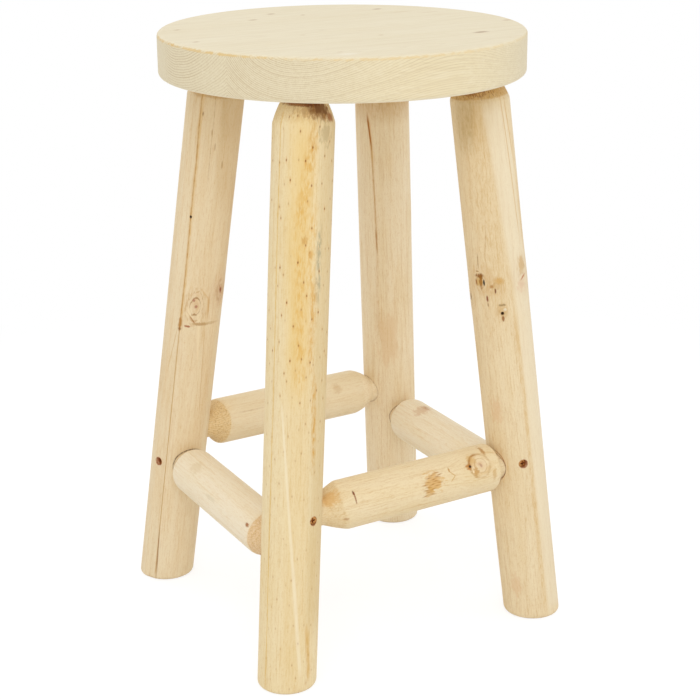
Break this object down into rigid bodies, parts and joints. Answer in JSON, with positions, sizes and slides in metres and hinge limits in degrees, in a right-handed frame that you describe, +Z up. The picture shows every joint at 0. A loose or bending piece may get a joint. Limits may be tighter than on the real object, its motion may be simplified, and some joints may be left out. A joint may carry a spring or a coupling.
{
  "type": "backless counter stool",
  "caption": "Backless counter stool: a round solid wood seat on splayed log legs, tied by log stretchers with tapered tenons and sunk pin screws.",
  "frame": {"origin": "on the floor, under the centre of the round seat", "axes": "+Z up, -Y to the front, +X to the right as seen from the front; the seat's grain runs along X"},
  "size_m": [0.364, 0.364, 0.61],
  "materials": {
    "seat_pine": "sanded, unfinished",
    "log_pine": "peeled and sanded, unfinished",
    "screw_steel": "yellow zinc plated"
  },
  "bodies": {
    "root": {"seat_board_front": "seat_pine", "seat_board_middle": "seat_pine", "seat_board_back": "seat_pine", "leg_front_left": "log_pine", "leg_front_right": "log_pine", "leg_back_right": "log_pine", "leg_back_left": "log_pine", "stretcher_front": "log_pine", "stretcher_right": "log_pine", "stretcher_back": "log_pine", "stretcher_left": "log_pine", "front_stretcher_screws": "screw_steel", "right_stretcher_screws": "screw_steel", "back_stretcher_screws": "screw_steel", "left_stretcher_screws": "screw_steel"}
  },
  "joints": []
}
